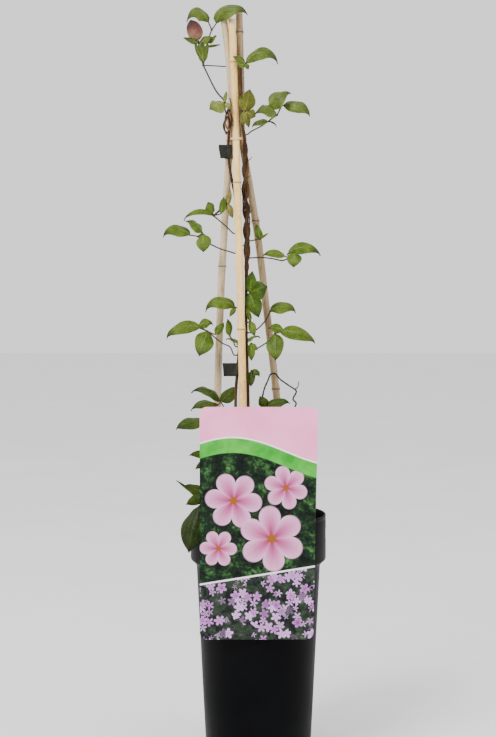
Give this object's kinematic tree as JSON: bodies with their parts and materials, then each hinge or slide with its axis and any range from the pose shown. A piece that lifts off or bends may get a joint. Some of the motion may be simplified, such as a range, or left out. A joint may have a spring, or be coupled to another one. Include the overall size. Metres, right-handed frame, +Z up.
{
  "type": "potted young clematis plant on bamboo canes",
  "caption": "Young climbing plant in a tall round nursery pot, its leafy stems trained up bamboo canes tied near the top, with a closed bud and a picture card on the rim.",
  "frame": {"origin": "centre of the underside of the pot", "axes": "+Z up along the pot, -Y towards the picture label, +X to the right of someone who faces the label"},
  "size_m": [0.1553, 0.1346, 0.7202],
  "materials": {
    "pot_plastic": "black moulded polypropylene, satin",
    "growing_mix": "damp dark peat-like mix with fibres and bark crumbs",
    "cane_grey": "weathered bamboo, grey-tan, smooth",
    "cane_pale": "fresh bamboo, pale peach-beige, smooth",
    "cane_brown": "weathered bamboo, brown-tan, smooth",
    "tie_band": "pale elastic band, matte",
    "tying_tape": "dark thin tape, slightly wrinkled",
    "bine": "thin brown woody stem, lightly ridged",
    "leaf_top": "soft olive green young leaf, satin, bronze-grey at the tips",
    "leaf_middle": "mid green leaf, satin, paler veins and margin",
    "leaf_low": "dark green mature leaf, satin",
    "shoot": "slate green young shoot and olive leaves",
    "bud": "dusky pink downy sepals, darker at the tip",
    "dry_twig": "dead grey side stem, matte",
    "label_card": "printed plastic card in pink, green and lilac, satin"
  },
  "bodies": {
    "root": {"pot": "pot_plastic", "soil": "growing_mix", "cane_left": "cane_grey", "cane_front": "cane_pale", "cane_right": "cane_brown", "cane_tie": "tie_band", "stem_tape_upper": "tying_tape", "stem_tape_lower": "tying_tape", "bine_left": "bine", "bine_right": "bine", "leaf_crown_right": "leaf_top", "leaf_yellow": "leaf_top", "leaf_right_upper": "leaf_top", "leaf_left_upper": "leaf_top", "leaf_left_1": "leaf_middle", "leaf_left_2": "leaf_middle", "leaf_right_0": "leaf_middle", "leaf_right_1": "leaf_middle", "leaf_inner_1": "leaf_middle", "leaf_inner_2": "leaf_middle", "leaf_left_3": "leaf_middle", "leaf_left_4": "leaf_middle", "leaf_left_5": "leaf_middle", "leaf_right_2": "leaf_middle", "leaf_right_3": "leaf_middle", "leaf_inner_3": "leaf_middle", "leaf_inner_4": "leaf_low", "leaf_low_left_1": "leaf_low", "leaf_low_left_2": "leaf_low", "leaf_low_right": "leaf_low", "leaf_low_left_3": "leaf_low", "leaf_low_left_4": "leaf_low", "leaf_low_left_5": "leaf_low", "leaf_back_low": "leaf_low", "leaf_back_middle": "leaf_middle", "top_shoot": "shoot", "flower_bud": "bud", "dry_twig": "dry_twig", "plant_label": "label_card"}
  },
  "joints": []
}
